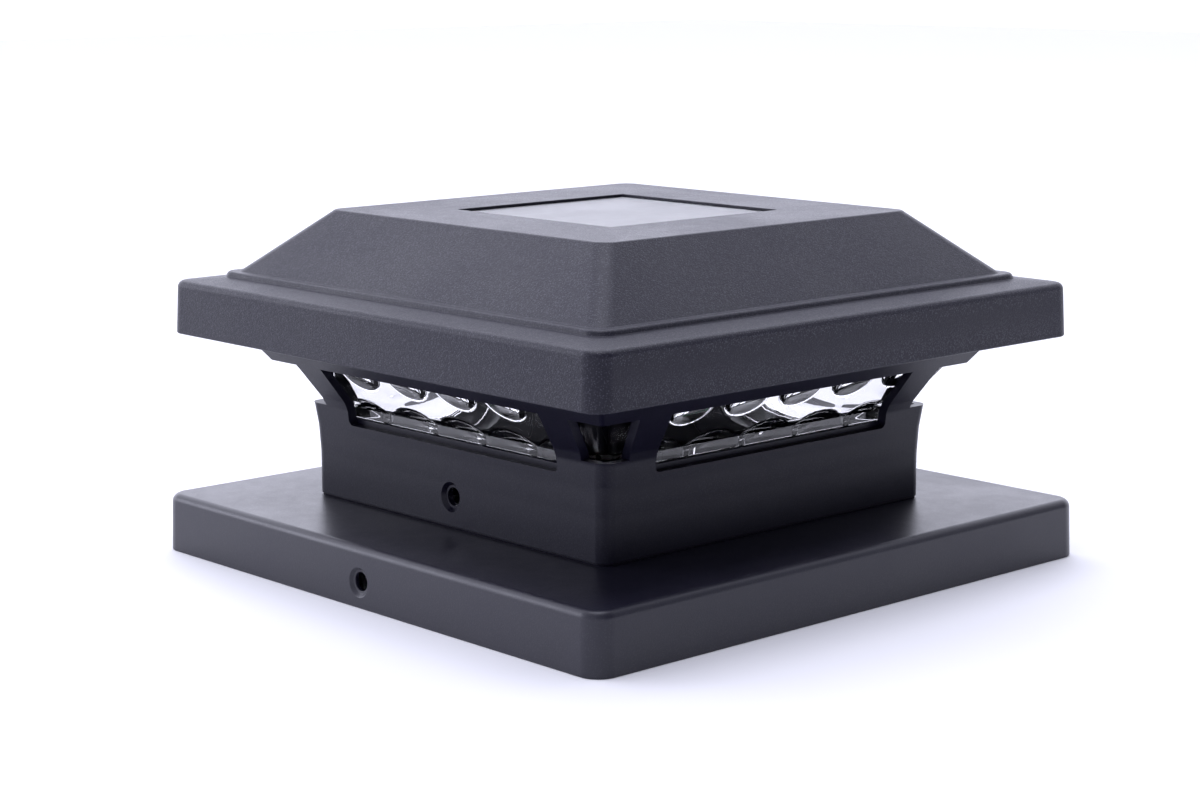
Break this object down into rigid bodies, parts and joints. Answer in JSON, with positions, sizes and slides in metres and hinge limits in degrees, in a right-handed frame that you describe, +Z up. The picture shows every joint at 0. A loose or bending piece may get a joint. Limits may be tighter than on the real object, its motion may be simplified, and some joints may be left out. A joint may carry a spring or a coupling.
{
  "type": "deck post cap light",
  "caption": "Solar deck post cap light: hipped square cap with a flush panel over a flared window frame with a clear hammered lens, on a wide square post skirt.",
  "frame": {"origin": "centre of the post skirt's bottom rim, on the surface that it stands on", "axes": "+Z up through the roof; the screw holes are in the -Y and +Y sides; the battery lies along X"},
  "size_m": [0.145, 0.145, 0.0768],
  "materials": {
    "black_abs": "fine textured satin black ABS",
    "roof_abs": "sparkly grained charcoal black ABS",
    "clear_lens": "clear acrylic, fluted and pillowed on its inner face",
    "inner_black": "plain moulded black plastic",
    "led_phosphor": "yellow phosphor resin",
    "battery_sleeve": "plain green shrink sleeve",
    "bright_steel": "nickel plated steel",
    "screw_steel": "stainless screws",
    "seal_rubber": "soft black rubber",
    "foam_grey": "grey adhesive foam",
    "knob_white": "white moulded plastic",
    "board_green": "green solder mask",
    "board_black": "black solder mask",
    "component_black": "moulded electronic packages",
    "panel_front": "clear glossy panel front",
    "cell_blue": "dark blue solar cells",
    "lead_red": "insulated lead",
    "lead_white": "insulated lead",
    "lead_blue": "insulated lead"
  },
  "bodies": {
    "post_skirt": {"post_skirt": "black_abs"},
    "light_unit": {"housing": "black_abs", "lens": "clear_lens", "tray": "inner_black", "led_board": "board_green", "leds": "led_phosphor", "led_screws": "screw_steel", "battery_box": "inner_black", "battery": "battery_sleeve", "battery_nub": "bright_steel", "contact_plates": "bright_steel", "contact_spring": "bright_steel", "box_screws": "screw_steel", "switch_body": "inner_black", "switch_frame": "bright_steel", "control_board": "board_green", "board_parts": "component_black", "board_screws": "screw_steel", "roof_cap": "roof_abs", "roof_seal": "seal_rubber", "roof_screws": "screw_steel", "solar_glass": "panel_front", "solar_cells": "cell_blue", "solar_board": "board_black", "panel_seal": "foam_grey", "panel_leads": "lead_red", "battery_leads": "lead_red", "led_leads": "lead_white", "switch_leads": "lead_blue"},
    "battery_door": {"battery_door": "black_abs", "door_seal": "seal_rubber", "door_pad": "foam_grey", "door_screws": "screw_steel"},
    "switch_knob": {"switch_knob": "knob_white"}
  },
  "joints": [
    {"name": "unit_lift", "type": "slide", "parent": "post_skirt", "child": "light_unit", "axis": [0, 0, 1], "range_m": [0, 0.06]},
    {"name": "door_drop", "type": "slide", "parent": "light_unit", "child": "battery_door", "axis": [0, 0, -1], "range_m": [0, 0.044]},
    {"name": "switch_slide", "type": "slide", "parent": "light_unit", "child": "switch_knob", "axis": [1, 0, 0], "range_m": [-0.002, 0.002]}
  ]
}
